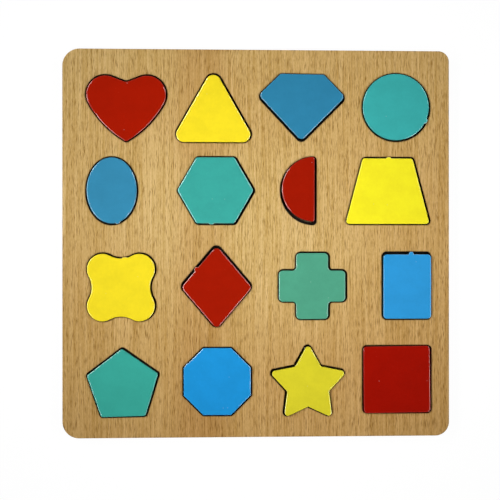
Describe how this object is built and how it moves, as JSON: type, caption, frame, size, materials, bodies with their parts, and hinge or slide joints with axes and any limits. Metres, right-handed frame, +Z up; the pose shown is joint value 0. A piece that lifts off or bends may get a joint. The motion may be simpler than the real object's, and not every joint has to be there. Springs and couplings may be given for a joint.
{
  "type": "wooden shape puzzle board",
  "caption": "Square wooden board with rows of cut-out sockets, each holding a loose painted flat shape that lifts straight out.",
  "frame": {"origin": "middle of the board's underside", "axes": "+Z up out of the board's face, +X to the right along the rows of shapes, +Y towards the row that starts with the heart"},
  "size_m": [0.225, 0.225, 0.0078],
  "materials": {
    "beech_face": "beech face with short dark flecks, satin, walls of the sockets browned by the laser",
    "backing_plywood": "plain sanded plywood",
    "red_paint": "glossy red paint over plywood",
    "yellow_paint": "glossy yellow paint over plywood",
    "blue_paint": "glossy blue paint over plywood",
    "sky_blue_paint": "glossy sky-blue paint over plywood",
    "teal_paint": "glossy teal paint over plywood",
    "green_paint": "glossy sea-green paint over plywood"
  },
  "bodies": {
    "board": {"backing_board": "backing_plywood", "tray_sheet": "beech_face"},
    "heart": {"heart": "red_paint"},
    "triangle": {"triangle": "yellow_paint"},
    "gem": {"gem": "blue_paint"},
    "circle": {"circle": "teal_paint"},
    "oval": {"oval": "blue_paint"},
    "hexagon": {"hexagon": "teal_paint"},
    "semicircle": {"semicircle": "red_paint"},
    "trapezoid": {"trapezoid": "yellow_paint"},
    "quatrefoil": {"quatrefoil": "yellow_paint"},
    "rhombus": {"rhombus": "red_paint"},
    "cross": {"cross": "green_paint"},
    "rectangle": {"rectangle": "sky_blue_paint"},
    "pentagon": {"pentagon": "teal_paint"},
    "octagon": {"octagon": "sky_blue_paint"},
    "star": {"star": "yellow_paint"},
    "square": {"square": "red_paint"}
  },
  "joints": [
    {"name": "heart_lift", "type": "slide", "parent": "board", "child": "heart", "axis": [0, 0, 1], "range_m": [0, 0.04]},
    {"name": "triangle_lift", "type": "slide", "parent": "board", "child": "triangle", "axis": [0, 0, 1], "range_m": [0, 0.04]},
    {"name": "gem_lift", "type": "slide", "parent": "board", "child": "gem", "axis": [0, 0, 1], "range_m": [0, 0.04]},
    {"name": "circle_lift", "type": "slide", "parent": "board", "child": "circle", "axis": [0, 0, 1], "range_m": [0, 0.04]},
    {"name": "oval_lift", "type": "slide", "parent": "board", "child": "oval", "axis": [0, 0, 1], "range_m": [0, 0.04]},
    {"name": "hexagon_lift", "type": "slide", "parent": "board", "child": "hexagon", "axis": [0, 0, 1], "range_m": [0, 0.04]},
    {"name": "semicircle_lift", "type": "slide", "parent": "board", "child": "semicircle", "axis": [0, 0, 1], "range_m": [0, 0.04]},
    {"name": "trapezoid_lift", "type": "slide", "parent": "board", "child": "trapezoid", "axis": [0, 0, 1], "range_m": [0, 0.04]},
    {"name": "quatrefoil_lift", "type": "slide", "parent": "board", "child": "quatrefoil", "axis": [0, 0, 1], "range_m": [0, 0.04]},
    {"name": "rhombus_lift", "type": "slide", "parent": "board", "child": "rhombus", "axis": [0, 0, 1], "range_m": [0, 0.04]},
    {"name": "cross_lift", "type": "slide", "parent": "board", "child": "cross", "axis": [0, 0, 1], "range_m": [0, 0.04]},
    {"name": "rectangle_lift", "type": "slide", "parent": "board", "child": "rectangle", "axis": [0, 0, 1], "range_m": [0, 0.04]},
    {"name": "pentagon_lift", "type": "slide", "parent": "board", "child": "pentagon", "axis": [0, 0, 1], "range_m": [0, 0.04]},
    {"name": "octagon_lift", "type": "slide", "parent": "board", "child": "octagon", "axis": [0, 0, 1], "range_m": [0, 0.04]},
    {"name": "star_lift", "type": "slide", "parent": "board", "child": "star", "axis": [0, 0, 1], "range_m": [0, 0.04]},
    {"name": "square_lift", "type": "slide", "parent": "board", "child": "square", "axis": [0, 0, 1], "range_m": [0, 0.04]}
  ]
}
